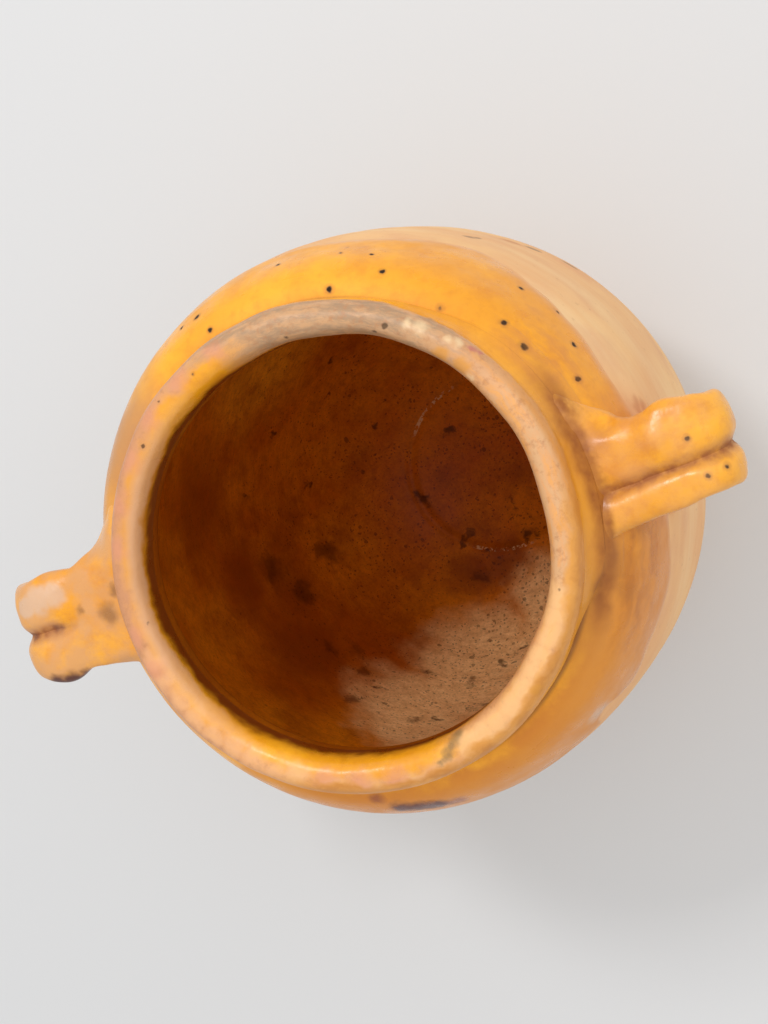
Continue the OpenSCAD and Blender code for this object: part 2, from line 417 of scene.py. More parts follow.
def outer_coat():
    """The glaze from its line up over the lip and down to where it meets the lining."""
    downs = [1 - 0.006 * i for i in range(11)] + [0.934 * (1 - i / 34) for i in range(1, 35)]
    lip = lip_section() + [p for p in throat if p[1] > coat_meet_z] + [(throat_r, coat_meet_z)]
    lip_normals = outward([(neck_r, neck_z)] + lip)[1:]
    bm = bmesh.new()
    down_layer = bm.verts.layers.float.new("down")
    thick_layer = bm.verts.layers.float.new("thick")
    proud_layer = bm.verts.layers.float.new("proud")
    verts = []
    for down in downs:
        v = bm.verts.new(((neck_r + glaze_t) * MM, 0, (neck_z + glaze_t) * MM))
        v[down_layer] = down
        v[thick_layer] = coat_thickness(down)
        verts.append(v)
    for (r, z), (nr, nz) in zip(lip, lip_normals):
        verts.append(bm.verts.new(((r + nr * glaze_t) * MM, 0, (z + nz * glaze_t) * MM)))
    for v in verts:
        v[proud_layer] = glaze_t
    for r, z in reversed(lip):
        verts.append(bm.verts.new((r * MM, 0, z * MM)))
    for down in list(reversed(downs))[:-1]:
        v = bm.verts.new((neck_r * MM, 0, neck_z * MM))
        v[down_layer] = down
        verts.append(v)
    edges = [bm.edges.new(pair) for pair in zip(verts, verts[1:] + verts[:1])]
    bmesh.ops.spin(bm, geom=verts + edges, cent=(0, 0, 0), axis=(0, 0, 1),
                   angle=2 * math.pi, steps=turn_steps, use_merge=True)
    for v in bm.verts:
        down = v[down_layer]
        if down <= 0:
            continue
        a = math.atan2(v.co.y, v.co.x)
        wander = 0.6 * noise.noise(Vector((math.cos(a), math.sin(a), 0)) * 9)
        low = shoulder_angle(line_z(math.degrees(a)) + wander)
        angle = 90 - (90 - low) * down
        r, z = shoulder_point(angle, belly_r, neck_r, neck_z)
        r2, z2 = shoulder_point(angle - 0.1, belly_r, neck_r, neck_z)
        length = math.hypot(r2 - r, z2 - z)
        off = v[thick_layer]
        r, z = r - off * (z2 - z) / length, z + off * (r2 - r) / length
        v.co = Vector((r * math.cos(a), r * math.sin(a), z)) * MM
    bmesh.ops.remove_doubles(bm, verts=bm.verts, dist=0.001 * MM)
    bmesh.ops.recalc_face_normals(bm, faces=bm.faces)
    return bm


def on_lip(azimuth, r):
    """The point on the lip's round top at an azimuth in degrees and a radius in mm."""
    across = abs(r - lip_mid_r) / (lip_r - lip_mid_r)
    rise = max(0, 1 - across ** crown_power) ** (1 / crown_power)
    return at(azimuth, r, crown_z + (pot_h - crown_z) * rise - 0.4)


def band(tree, value, rise, fall):
    """A mask that rises over one stretch of a value and falls over another."""
    up = add(tree, "ShaderNodeMapRange", {"Value": value, "From Min": rise[0], "From Max": rise[1]},
             interpolation_type="SMOOTHSTEP")
    down = add(tree, "ShaderNodeMapRange", {"Value": value, "From Min": fall[1], "From Max": fall[0]},
               interpolation_type="SMOOTHSTEP")
    return add(tree, "ShaderNodeMath", {0: up, 1: down}, operation="MULTIPLY")


def both(tree, *masks):
    """The product of several masks."""
    product = masks[0]
    for mask in masks[1:]:
        product = add(tree, "ShaderNodeMath", {0: product, 1: mask}, operation="MULTIPLY")
    return product


def round_the_pot(tree, place):
    """Radius, height and azimuth in radians of some coordinates."""
    flat = add(tree, "ShaderNodeVectorMath", {0: place, 1: (1, 1, 0)}, operation="MULTIPLY")
    radius = add(tree, "ShaderNodeVectorMath", {0: flat}, out="Value", operation="LENGTH")
    parts = add(tree, "ShaderNodeSeparateXYZ", {"Vector": place}).node.outputs
    return radius, parts["Z"], add(tree, "ShaderNodeMath", {0: parts["Y"], 1: parts["X"]},
                                   operation="ARCTAN2")


def sector(tree, azimuth, start, end, soft=8):
    """A mask over the part of the pot between two azimuths in degrees."""
    return band(tree, azimuth, (math.radians(start), math.radians(start + soft)),
                (math.radians(end - soft), math.radians(end)))


def facing(tree, place, azimuth, start, end):
    """A mask that rises toward one side of the pot, from one cosine to another."""
    share = add(tree, "ShaderNodeVectorMath", {0: place, 1: at(azimuth, 1 / 62, 0) / MM ** 2}, out="Value",
                operation="DOT_PRODUCT")
    return add(tree, "ShaderNodeMapRange", {"Value": share, "From Min": start, "From Max": end})


def streaky(tree, place, size_mm, drawn, **more):
    """A noise drawn out into streaks round the pot, some of them longer than others."""
    radius, height, _ = round_the_pot(tree, place)
    flat = add(tree, "ShaderNodeVectorMath", {0: place, 1: (1, 1, 0)}, operation="MULTIPLY")
    heading = add(tree, "ShaderNodeVectorMath", {0: flat}, operation="NORMALIZE")
    shrunk = add(tree, "ShaderNodeVectorMath", {0: heading, "Scale": 0.07 / drawn}, operation="SCALE")
    parts = add(tree, "ShaderNodeSeparateXYZ", {"Vector": shrunk}).node.outputs
    vector = add(tree, "ShaderNodeCombineXYZ", {"X": radius, "Y": height, "Z": parts["X"]})
    return add(tree, "ShaderNodeTexNoise", {"Vector": vector, "W": parts["Y"], "Scale": grain(size_mm),
                                            **more}, noise_dimensions="4D")


def root_dirt_and_shade(tree, radius, azimuth, place):
    """The dirt of years in the crease between the right ear and the pot, darkened further as painted shade."""
    uneven = add(tree, "ShaderNodeTexNoise", {"Vector": place, "Scale": grain(5), "Detail": 4})
    uneven = add(tree, "ShaderNodeMapRange", {"Value": uneven, "From Min": 0.3, "From Max": 0.6,
                                              "To Min": 0.55, "To Max": 0.95})
    return both(tree, uneven, band(tree, radius, (0.0654, 0.0682), (0.0696, 0.0722)),
                sector(tree, azimuth, -38, 30, 14))


def ochre_glaze(tree, place, holes, soil):
    """The colour and the hollows of the yellow glaze, shared by the coat and the ears."""
    runs = add(tree, "ShaderNodeMapping", {"Vector": place, "Scale": (1, 1, 0.35)})
    pools = add(tree, "ShaderNodeTexNoise", {"Vector": runs, "Scale": grain(30), "Detail": 5,
                                             "Roughness": 0.55})
    depth = add(tree, "ShaderNodeMapRange", {"Value": pools, "From Min": 0.38, "From Max": 0.6})
    freckles = add(tree, "ShaderNodeTexNoise", {"Vector": place, "Scale": grain(3), "Detail": 5,
                                                "Roughness": 0.68})
    freckled = add(tree, "ShaderNodeMapRange", {"Value": freckles, "From Min": 0.48, "From Max": 0.7,
                                                "To Max": 0.2 + 0.4 * soil})
    smears = add(tree, "ShaderNodeTexNoise", {"Vector": place, "Scale": grain(11), "Detail": 6, "W": 4.0,
                                              "Roughness": 0.62}, noise_dimensions="4D")
    smeared = add(tree, "ShaderNodeMapRange", {"Value": smears, "From Min": 0.5, "From Max": 0.66,
                                               "To Max": 0.1 + soil})
    drawn = add(tree, "ShaderNodeMapping", {"Vector": place, "Scale": (0.15, 0.15, 1)})
    wiped = add(tree, "ShaderNodeTexNoise", {"Vector": drawn, "Scale": grain(5), "Detail": 5})
    thin = add(tree, "ShaderNodeMapRange", {"Value": wiped, "From Min": 0.52, "From Max": 0.75,
                                            "To Max": 0.25})
    surface = add(tree, "ShaderNodeMix", {0: depth, 6: colour("#ea9a16"), 7: colour("#fcb022")},
                  out=2, data_type="RGBA")
    surface = layered(tree, surface, [(thin, "#efa83e"), (smeared, "#d07e24"), (freckled, "#d07a16")])
    gap = nearness(tree, shaken(tree, place, 1.4, 1.0), holes)
    core = add(tree, "ShaderNodeMapRange", {"Value": gap, "From Min": 1.0, "From Max": 0.6})
    halo = add(tree, "ShaderNodeMapRange", {"Value": gap, "From Min": 1.9, "From Max": 0.9, "To Max": 0.6})
    return layered(tree, surface, [(halo, "#a8681c"), (core, "#231809")]), core


def glaze_shader(tree, place, end, surface, dull, polish):
    """A glassy lead glaze over a hand-made body: glossy, with a soft orange-peel skin."""
    skin = add(tree, "ShaderNodeTexNoise", {"Vector": place, "Scale": grain(2.2), "Detail": 4})
    dents = add(tree, "ShaderNodeTexNoise", {"Vector": place, "Scale": grain(8), "Detail": 2})
    slow = add(tree, "ShaderNodeBump", {"Height": dents, "Strength": 0.5, "Distance": 0.7 * MM})
    waves = add(tree, "ShaderNodeBump", {"Height": skin, "Strength": 0.4, "Distance": 0.25 * MM,
                                         "Normal": slow})
    rubbed = add(tree, "ShaderNodeTexNoise", {"Vector": place, "Scale": grain(9), "Detail": 5})
    rough = add(tree, "ShaderNodeMapRange", {"Value": rubbed, "From Min": 0.35, "From Max": 0.7,
                                             "To Min": polish, "To Max": polish + 0.25})
    rougher = add(tree, "ShaderNodeMath", {0: rough, 1: dull}, operation="MAXIMUM")
    shader = add(tree, "ShaderNodeBsdfPrincipled",
                 {"Base Color": surface, "Roughness": rougher, "IOR": 1.5, "Normal": waves})
    tree.links.new(shader, end.inputs["Surface"])


def coat_finish():
    # Yellow lead glaze over buff slip, poured and fired: a glassy skin that pools and thins.
    # The eye sees saturated ochre with darker runs and pinholes, and a lip worn to greyish clay.
    glaze, tree, place, end = material("yellow_lead_glaze")
    holes = [(at(az, shoulder_r(z) + glaze_t, z), size) for az, z, size in (
        (65, 173, 0.8), (50, 176, 1.0), (37, 173.5, 1.0), (40, 158, 0.8), (32, 155.5, 0.9),
        (25, 162.5, 0.9), (19, 170, 1.0), (75.8, 176, 1.0), (75, 162, 0.5), (75.5, 166, 0.5),
        (69, 167, 0.6), (89, 166, 0.7), (108.5, 171, 0.9), (113, 169.5, 0.8), (106, 175.8, 0.8),
        (151, 161, 0.8), (-158, 166, 1.0), (-118, 157, 0.8))]
    holes += [(at(30.6, 71, 175.6), 1.3)]
    holes += [(on_lip(az, r), size) for az, r, size in (
        (58, 60.6, 1.1), (60.5, 58, 0.9), (84, 57, 0.8), (111, 59, 0.5), (123, 61, 0.6), (135, 58.4, 0.7),
        (142, 62, 0.5), (-176, 57, 0.8), (-23, 59.5, 0.7), (158, 63, 0.6), (-145, 61, 0.6))]
    surface, core = ochre_glaze(tree, place, holes, 0.25)
    ragged = shaken(tree, place, 7, 8)
    radius, height, azimuth = round_the_pot(tree, ragged)
    true_radius, true_height, _ = round_the_pot(tree, place)

    down = add(tree, "ShaderNodeAttribute", {}, out="Fac", attribute_name="down")
    fringe = add(tree, "ShaderNodeMapRange", {"Value": down, "From Min": 0.82, "From Max": 0.98,
                                              "To Max": 0.5})
    film = add(tree, "ShaderNodeMapRange", {"Value": down, "From Min": 0.95, "From Max": 1.0,
                                            "To Max": 0.85}, interpolation_type="SMOOTHSTEP")
    dragged = streaky(tree, ragged, 3.5, 8, Detail=5)
    dragged = add(tree, "ShaderNodeMapRange", {"Value": dragged, "From Min": 0.4, "From Max": 0.62,
                                               "To Max": 0.75})
    streaks = both(tree, dragged, sector(tree, azimuth, -46, 6, 20),
                   band(tree, radius, (0.067, 0.071), (0.077, 0.082)))
    # Painted shade: a browner tint over the shoulder's lower side, away from the window light
    browner_painted_shade = both(tree, 0.8, sector(tree, azimuth, -150, 4, 34),
                   band(tree, radius, (0.065, 0.069), (0.09, 0.1)))
    beside_ear = both(tree, dragged, sector(tree, azimuth, 9, 42, 12),
                      band(tree, radius, (0.066, 0.069), (0.073, 0.080)))
    pallid = add(tree, "ShaderNodeTexNoise", {"Vector": place, "Scale": grain(18), "Detail": 5, "W": 9.0},
                 noise_dimensions="4D")
    pallid = add(tree, "ShaderNodeMapRange", {"Value": pallid, "From Min": 0.35, "From Max": 0.6,
                                              "To Min": 0.5, "To Max": 0.95})
    pallid = both(tree, pallid, sector(tree, azimuth, 116, 179, 20),
                  band(tree, radius, (0.064, 0.067), (0.09, 0.1)))
    surface = layered(tree, surface, [(fringe, "#e59a44"), (pallid, "#c68c54"), (browner_painted_shade, "#d48022"),
                                      (streaks, "#bc6e1a"), (beside_ear, "#cf8238"), (film, "#e6a868")])

    # Wear: all across the lip on the side of the right ear, and only along its crest on the other
    whole = facing(tree, ragged, 12, -0.05, 0.2)
    far_side = facing(tree, ragged, 172, 0.5, 0.85)
    high = add(tree, "ShaderNodeMapRange", {"Value": height, "From Min": 0.1842, "From Max": 0.1862})
    crest_only = add(tree, "ShaderNodeMapRange", {"Value": radius, "From Min": 0.0580, "From Max": 0.0612})
    across = add(tree, "ShaderNodeMath", {0: crest_only, 1: whole}, operation="MAXIMUM")
    grime = streaky(tree, shaken(tree, place, 5, 3), 1.9, 6, Detail=6, Roughness=0.68)
    patchy = add(tree, "ShaderNodeMapRange", {"Value": grime, "From Min": 0.32, "From Max": 0.5,
                                              "To Min": 0.5, "To Max": 0.95})
    worn = both(tree, high, across, patchy)
    scraped = add(tree, "ShaderNodeMapRange", {"Value": grime, "From Min": 0.42, "From Max": 0.58,
                                               "To Min": 0.15, "To Max": 1.0})
    faded = both(tree, high, across, 0.85, sector(tree, azimuth, 26, 124, 25))
    greyed = both(tree, scraped, faded)
    tanned = both(tree, scraped, high, across, sector(tree, azimuth, -34, 40, 16))
    rubbed = add(tree, "ShaderNodeTexNoise", {"Vector": place, "Scale": grain(1.8), "Detail": 5, "W": 1.0,
                                              "Roughness": 0.7}, noise_dimensions="4D")
    rubbed = add(tree, "ShaderNodeMapRange", {"Value": rubbed, "From Min": 0.5, "From Max": 0.66,
                                              "To Max": 0.7})
    calm_radius, _, calm_azimuth = round_the_pot(tree, shaken(tree, place, 9, 3))
    inner_edge = add(tree, "ShaderNodeMapRange", {"Value": calm_radius, "From Min": 0.0586,
                                                  "From Max": 0.0566, "To Max": 0.8})
    surface = layered(tree, surface, [(both(tree, high, far_side, 0.7), "#d9954a"), (worn, "#df9e68"),
                                      (tanned, "#d8a674"), (faded, "#cc9e72"),
                                      (both(tree, worn, far_side), "#c88a5e"), (greyed, "#a38262"),
                                      (both(tree, inner_edge, high, far_side), "#dea87c"),
                                      (both(tree, rubbed, worn), "#b77b4c")])

    # The crease under the lip: dark glaze and dirt, with painted shade where the lip overhangs
    crease = both(tree, band(tree, true_height, (0.1755, 0.1768), (0.1782, 0.1796)),
                  band(tree, true_radius, (0.0600, 0.0612), (0.0646, 0.0660)))
    crease = add(tree, "ShaderNodeMath", {0: crease, 1: 0.65}, operation="MULTIPLY")
    # The right ear's root: dirt and painted shade in the crease
    root = root_dirt_and_shade(tree, calm_radius, calm_azimuth, place)
    inside = add(tree, "ShaderNodeMapRange", {"Value": true_radius, "From Min": 0.0600, "From Max": 0.0588})
    deep = add(tree, "ShaderNodeMapRange", {"Value": height, "From Min": 0.1862, "From Max": 0.1812},
               interpolation_type="SMOOTHSTEP")
    collar = both(tree, 0.65, band(tree, true_radius, (0.0632, 0.0648), (0.0705, 0.0740)),
                  sector(tree, azimuth, -56, 40, 22))
    surface = layered(tree, surface, [(collar, "#d08830"), (crease, "#8a4f1c"), (root, "#94500f"),
                                      (both(tree, inside, deep), "#78380a")])

    surface = marked(tree, shaken(tree, place, 5, 7), surface, [
        # Pale worn lip on the lower right, brightened further as painted light where it faces the window
        ("#f5bd7c", 0.7, 0.5, [(on_lip(-70 + 5 * i, 59.3), 3.6) for i in range(10)]),
        # Painted highlights along the crest of the lip's lower left
        ("#f2b67e", 0.55, 0.7, [(on_lip(-166 + 6 * i, 60.5), 2.8) for i in range(9)]),
        ("#eeb878", 0.5, 0.8, [(on_lip(az, 62.5), 3) for az in (-118, -108, -98, -88, -79)]),
        ("#db916c", 0.6, 0.7, [(on_lip(az, 60.8), 3) for az in (-174, -164, -110, -101, -92, 104, 116,
                                                                128, 140, 152, 164)]),
        ("#a8641c", 0.4, 0.8, [(at(-19, 71, 174), 4), (at(-25, 73.5, 171), 3.5), (at(-11, 76, 166), 4)])])
    sleeve = add(tree, "ShaderNodeMapRange", {"Value": radius, "From Min": 0.0608, "From Max": 0.0626})
    sleeve = both(tree, sleeve, high, sector(tree, azimuth, -128, 8, 20))
    surface = layered(tree, surface, [(both(tree, sleeve, 0.85), "#e29a3c"),
                                      (both(tree, sleeve, dragged), "#c57c2c")])
    surface = marked(tree, shaken(tree, place, 2.5, 3), surface, [
        # Painted highlights: small cream spots on the lip
        ("#f0d0a0", 0.7, 1, [(on_lip(41, 64.2), 1.2), (on_lip(43, 63.6), 0.8), (on_lip(50, 63.2), 1.7),
                             (on_lip(53, 62.6), 1.2), (on_lip(34, 58.5), 0.8)]),
        ("#d68f2c", 0.7, 0.5, [(on_lip(37, 60), 2.2), (on_lip(43, 59.5), 2), (on_lip(-48, 62), 1.6)]),
        ("#b8605c", 0.65, 0.6, [(on_lip(37.6, 64.6), 1.3), (on_lip(36, 65), 1)]),
        ("#6a5c40", 0.65, 0.8, [(on_lip(-79 + i, 60 - 0.5 * i), 0.9 + 0.12 * i) for i in range(8)]),
        ("#54120a", 0.95, 0.6, [(at(-90 - 1.5 * i, 74.6 - 0.3 * i, 170 + 0.25 * i), 3.2) for i in range(6)]),
        ("#8c4430", 0.7, 0.7, [(at(-102, 69.5, 175.5), 2), (at(-86, 75.5, 169), 2.6)]),
        ("#d2ae90", 0.65, 0.6, [(at(-52.5, 78, 160), 3.4)])])
    surface = layered(tree, surface, [(both(tree, core, 0.7), "#2a1c0c")])
    grubby = both(tree, 0.6, band(tree, true_radius, (0.0640, 0.0655), (0.0690, 0.0740)),
                  add(tree, "ShaderNodeMapRange", {"Value": true_height, "From Min": 0.183, "From Max": 0.181}))
    dull = add(tree, "ShaderNodeMath", {0: worn, 1: 0.5}, operation="MULTIPLY")
    for other in (core, grubby):
        dull = add(tree, "ShaderNodeMath", {0: dull, 1: other}, operation="MAXIMUM")
    glaze_shader(tree, place, end, surface, dull, 0.22)
    return glaze


bm = outer_coat()
by_hand(bm)
glaze_coat = made("glaze_coat", bm)
glaze_coat.data.materials.append(coat_finish())
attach(glaze_coat, "root")
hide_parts("outer_glaze")


# Lining
# A second glaze, swilled round the inside and poured out, which made the pot hold fat.
# It is amber glass over throwing rings and a finger ring, scratched and stained by years of use.

def lining_skin():
    """The glaze inside the pot, as a closed skin from the throat to the middle of the floor."""
    path = [(throat_r, coat_meet_z)] + [p for p in throat if p[1] < coat_meet_z] + inner_section()
    normals = outward(path)
    normals[-1] = (0, 1)
    face = [(max(r + nr * glaze_t, 0), z + nz * glaze_t) for (r, z), (nr, nz) in zip(path, normals)]
    return face + list(reversed(path))


def lining_finish():
    # Amber lead glaze, swilled on thin and stained by fat: glossy where whole, dull where scoured.
    # The eye sees deep orange-brown with brushed streaks, soft dark patches and black specks.
    lining, tree, place, end = material("amber_lead_glaze")
    radius, height, azimuth = round_the_pot(tree, place)
    clouds = add(tree, "ShaderNodeTexNoise", {"Vector": place, "Scale": grain(34), "Detail": 5})
    depth = add(tree, "ShaderNodeMapRange", {"Value": clouds, "From Min": 0.38, "From Max": 0.62})
    stains = add(tree, "ShaderNodeTexNoise", {"Vector": place, "Scale": grain(15), "Detail": 6, "W": 5.0,
                                              "Roughness": 0.62}, noise_dimensions="4D")
    stained = add(tree, "ShaderNodeMapRange", {"Value": stains, "From Min": 0.5, "From Max": 0.66,
                                               "To Max": 0.5})
    hairs = streaky(tree, shaken(tree, place, 25, 14), 1.3, 6, Detail=6, Roughness=0.7)
    hair = add(tree, "ShaderNodeMapRange", {"Value": hairs, "From Min": 0.42, "From Max": 0.68,
                                            "To Max": 0.4})
    mottles = add(tree, "ShaderNodeTexNoise", {"Vector": place, "Scale": grain(4), "Detail": 7,
                                               "Roughness": 0.75})
    mottled = add(tree, "ShaderNodeMapRange", {"Value": mottles, "From Min": 0.46, "From Max": 0.68,
                                               "To Max": 0.45})
    surface = add(tree, "ShaderNodeMix", {0: depth, 6: colour("#c66605"), 7: colour("#e2850e")},
                  out=2, data_type="RGBA")
    surface = marked(tree, shaken(tree, place, 12, 16), surface, [
        ("#ffb428", 0.9, 0.6, [(at(95, 79, 105), 42), (at(125, 76, 75), 26), (at(70, 72, 60), 26)]),
        ("#b04c04", 0.85, 0.9, [(at(-150, 75, 75), 26), (at(-135, 68, 50), 20), (at(-172, 76, 84), 16)]),
        ("#7c3004", 0.5, 0.9, [(at(-172, 76, 84), 12), (at(164, 76.6, 100), 14), (at(-150, 75, 76), 14),
                               (at(-165, 70, 60), 10)]),
        ("#7c3404", 0.6, 0.7, [(at(-119, 40.6, 14), 8), (at(-92, 36, 12), 6), (at(-104, 38, 13), 6)])])
    # A scoured, pinker patch on the lower wall inside, brightened further as a painted pool of window light
    scour_and_light_gap = nearness(tree, shaken(tree, place, 10, 18), [
        (at(-106, 64.5, 40), 20), (at(-118, 74, 72), 19), (at(-82, 48, 21), 12),
        (at(-104, 70, 58), 18), (at(-84, 62, 38), 17), (at(-112, 76, 90), 18)])
    scour_and_light_pool = add(tree, "ShaderNodeMapRange", {"Value": scour_and_light_gap, "From Min": 1.5, "From Max": 0.6},
                interpolation_type="SMOOTHSTEP")
    brushed = both(tree, hair, band(tree, height, (0.002, 0.03), (0.15, 0.175)))
    uneven = add(tree, "ShaderNodeMapRange", {"Value": mottles, "From Min": 0.4, "From Max": 0.62,
                                              "To Min": 1.0, "To Max": 0.75})
    grit = add(tree, "ShaderNodeTexNoise", {"Vector": place, "Scale": grain(0.9), "Detail": 4, "W": 8.0,
                                            "Roughness": 0.65}, noise_dimensions="4D")
    gritty = add(tree, "ShaderNodeMapRange", {"Value": grit, "From Min": 0.46, "From Max": 0.62,
                                              "To Max": 0.22})
    surface = layered(tree, surface, [(stained, "#8c3e07"), (brushed, "#a05610"), (mottled, "#8a440a"),
                                      (both(tree, scour_and_light_pool, uneven), "#ffcd8c"),
                                      (both(tree, scour_and_light_pool, hair), "#b0602a"), (gritty, "#7c3206")])
    ragged = shaken(tree, shaken(tree, place, 8, 15), 2.2, 4)
    surface = marked(tree, ragged, surface, [
        ("#4a1c04", 0.6, 0.6, [(at(-171.7, 72.4, 64.7), 5), (at(-170, 62.7, 36), 4.4),
                                (at(-162, 70, 55), 4), (at(-141.6, 72, 57), 3.4), (at(-144.7, 73, 65.6), 2.6),
                                (at(-134, 72, 62.5), 2.6), (at(-119, 70, 51), 2.6), (at(-132, 75.7, 84), 2.6),
                                (at(-111, 40.6, 16), 3), (at(-88, 66, 43), 2.2), (at(-101, 74, 70), 2),
                                (at(-94, 70, 55), 1.8), (at(-106, 69, 52), 2.4), (at(-115, 75.5, 82), 2.2),
                                (at(-98, 74, 72), 1.6), (at(-84, 60, 32), 1.8)]),
        ("#341204", 0.75, 0.5, [(at(168.1, 73.6, 70), 2), (at(166.4, 62.8, 36), 1.2),
                               (at(150.8, 69.7, 54.5), 1.6), (at(142, 45, 16.8), 1.6), (at(130.5, 22, 9.7), 2),
                               (at(124.4, 66, 46.7), 1.3), (at(125.5, 63, 38.8), 1.2),
                               (at(136, 71.5, 62.7), 1.2), (at(137, 60, 33), 1.2), (at(-170.7, 31, 12.6), 3),
                               (at(-80.5, 28, 11), 2.4), (at(-126.7, 28.5, 11.3), 2), (at(-85, 18, 9), 1.6),
                               (at(-112.7, 32.5, 12.7), 1.4), (at(-98.6, 64.5, 40.4), 1.5),
                               (at(-96, 63, 37.5), 1.7), (at(-93, 61, 34), 1.5), (at(-110, 75, 77.6), 1.5),
                               (at(-127.6, 73, 67.3), 1.5), (at(-118.9, 68.4, 50.4), 1.6)])])
    spread = add(tree, "ShaderNodeTexNoise", {"Vector": place, "Scale": grain(14), "Detail": 3, "W": 2.0},
                 noise_dimensions="4D")
    low_down = add(tree, "ShaderNodeMapRange", {"Value": height, "From Min": 0.12, "From Max": 0.01,
                                                "To Max": 0.13})
    crowd = add(tree, "ShaderNodeMapRange", {"Value": spread, "From Min": 0.4, "From Max": 0.65,
                                             "To Min": 0.03, "To Max": 0.16})
    reach = add(tree, "ShaderNodeMath", {0: crowd, 1: low_down}, operation="ADD")
    reach = add(tree, "ShaderNodeMath", {0: scour_and_light_pool, 1: 0.1, 2: reach}, operation="MULTIPLY_ADD")
    speckled = shaken(tree, place, 3, 2.4)
    for size_mm, share in ((1.2, 1.5), (2.6, 1.1), (6, 0.7)):
        dots = add(tree, "ShaderNodeTexVoronoi", {"Vector": speckled, "Scale": grain(size_mm)}, out="Distance")
        own_size = both(tree, reach, share, dots.node.outputs["Color"])
        hit = add(tree, "ShaderNodeMath", {0: dots, 1: own_size}, operation="LESS_THAN")
        surface = layered(tree, surface, [(both(tree, hit, 0.5), "#351506")])
    # Painted glints: pale flecks along the finger ring on the floor
    ring_glint_noise = add(tree, "ShaderNodeTexNoise", {"Vector": place, "Scale": grain(1.2), "Detail": 3, "W": 6.0},
                 noise_dimensions="4D")
    ring_glint_mask = add(tree, "ShaderNodeMapRange", {"Value": ring_glint_noise, "From Min": 0.5, "From Max": 0.56,
                                             "To Max": 0.85})
    edge = both(tree, ring_glint_mask, band(tree, radius, (0.0300, 0.0304), (0.0312, 0.0316)),
                add(tree, "ShaderNodeMath", {0: sector(tree, azimuth, -128, -76, 12),
                                             1: sector(tree, azimuth, 96, 150, 12)}, operation="ADD"))
    # Darker towards the top of the inside, under the neck
    neck_darkening = band(tree, height, (0.150, 0.178), (0.2, 0.21))
    surface = layered(tree, surface, [(edge, "#e8c090"), (both(tree, neck_darkening, 0.65), "#6c2e06")])
    skin = add(tree, "ShaderNodeTexNoise", {"Vector": place, "Scale": grain(2.5), "Detail": 5})
    bump = add(tree, "ShaderNodeBump", {"Height": skin, "Strength": 0.5, "Distance": 0.3 * MM})
    scoured = add(tree, "ShaderNodeMapRange", {"Value": clouds, "From Min": 0.35, "From Max": 0.7,
                                               "To Min": 0.35, "To Max": 0.6})
    shader = add(tree, "ShaderNodeBsdfPrincipled",
                 {"Base Color": surface, "Roughness": scoured, "IOR": 1.5, "Specular IOR Level": 0.1,
                  "Normal": bump})
    tree.links.new(shader, end.inputs["Surface"])
    return lining


bm = turned(lining_skin())
by_hand(bm)
glaze_lining = made("glaze_lining", bm)
glaze_lining.data.materials.append(lining_finish())
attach(glaze_lining, "root")
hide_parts("inner_glaze")


# Strap ears
# Two straps of clay, each pulled from a lump, grooved along its length with one finger, bent over
# and pressed on to the neck and the shoulder. They were glazed with the pot and worn by handling.

ear_t = 9
ear_bend = 7
ear_top_z = pot_h - 10.5 - ear_t / 2
ear_low_z = pot_h - 10.5 - 33
ear_bend_z = ear_top_z - ear_bend
ear_seat_x = shoulder_r(ear_low_z)
ear_sunk = 3
ear_sides = 96
ear_crown = 3
tip_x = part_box("right_ear")[1].x / MM - ear_t / 2 - 0.3
noise.seed_set(4)       # noise_vector is drawn anew in every session without a seed


def ear_line():
    """Stations along the middle of a strap: x and z in mm, from the neck over to the shoulder."""
    bend_x = tip_x - ear_bend
    root_x = neck_r - ear_sunk
    line = []
    for i in range(37):
        x = root_x + (bend_x - root_x) * i / 36
        line.append((x, ear_top_z - 2.5 * ((bend_x - x) / (bend_x - root_x)) ** 2))
    for i in range(1, 15):
        a = math.radians(90 - 90 * i / 14)
        line.append((bend_x + ear_bend * math.cos(a), ear_bend_z + ear_bend * math.sin(a)))
    for i in range(1, 25):
        a = math.radians(90 * i / 24)
        line.append((ear_seat_x + (tip_x - ear_seat_x) * math.cos(a),
                     ear_bend_z - (ear_bend_z - ear_low_z) * math.sin(a)))
    for i in range(1, 4):
        line.append((ear_seat_x - 2 * ear_sunk * i / 3, ear_low_z))
    return line


def at_station(table, x):
    """Reads a strap's half width, given as x and width, between its rows."""
    for (xa, wa), (xb, wb) in zip(table, table[1:]):
        if x <= xb:
            return wa + (wb - wa) * ease(x, xa, xb)
    return table[-1][1]


def pot_surface(r, filled):
    """Height of the pot's outside under an ear, with or without the filled neck."""
    if filled and r < collar_foot_r:
        return collar_point(min((collar_foot_r - r) / (collar_foot_r - lip_r), 1.4))[1]
    return shoulder_z(r)


